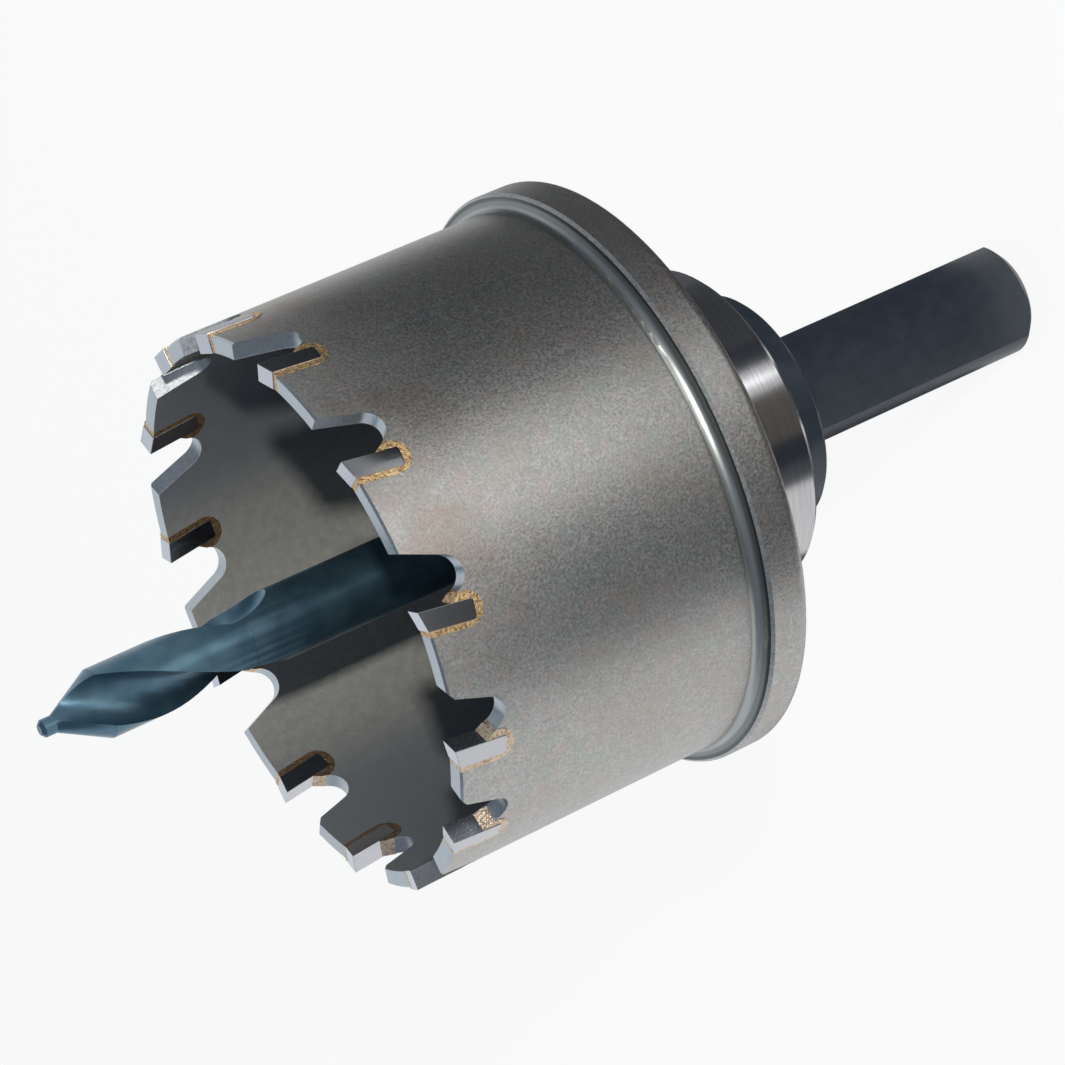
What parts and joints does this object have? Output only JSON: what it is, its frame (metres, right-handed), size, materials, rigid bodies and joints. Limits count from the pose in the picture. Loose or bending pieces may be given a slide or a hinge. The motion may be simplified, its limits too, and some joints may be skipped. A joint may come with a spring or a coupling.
{
  "type": "hole saw",
  "caption": "Hole saw: a steel cup with carbide-tipped teeth round its rim, a stepped hub, a pilot drill on its axis and a shank with flats for a drill chuck.",
  "frame": {"origin": "centre of the shank's end face, the lowest point of the tool as it stands teeth up", "axes": "+Z along the spin axis from the shank to the teeth and the drill's point; +X passes between the first and the second tooth"},
  "size_m": [0.0508, 0.0508, 0.096],
  "materials": {
    "cup_steel": "blasted satin steel on the cup and brim, polished on the hub",
    "arbor_steel": "black oxide, lightly oiled",
    "drill_steel": "steam oxide, blue-black",
    "carbide": "ground sintered carbide",
    "braze": "dull, granular braze metal",
    "screw_steel": "black oxide"
  },
  "bodies": {
    "root": {"arbor": "arbor_steel", "cutter_body": "cup_steel", "pilot_drill": "drill_steel", "grub_screw": "screw_steel", "carbide_tip_01": "carbide", "carbide_tip_02": "carbide", "carbide_tip_03": "carbide", "carbide_tip_04": "carbide", "carbide_tip_05": "carbide", "carbide_tip_06": "carbide", "carbide_tip_07": "carbide", "carbide_tip_08": "carbide", "carbide_tip_09": "carbide", "carbide_tip_10": "carbide", "carbide_tip_11": "carbide", "carbide_tip_12": "carbide", "carbide_tip_13": "carbide", "braze_seam_01": "braze", "braze_seam_02": "braze", "braze_seam_03": "braze", "braze_seam_04": "braze", "braze_seam_05": "braze", "braze_seam_06": "braze", "braze_seam_07": "braze", "braze_seam_08": "braze", "braze_seam_09": "braze", "braze_seam_10": "braze", "braze_seam_11": "braze", "braze_seam_12": "braze", "braze_seam_13": "braze"}
  },
  "joints": []
}
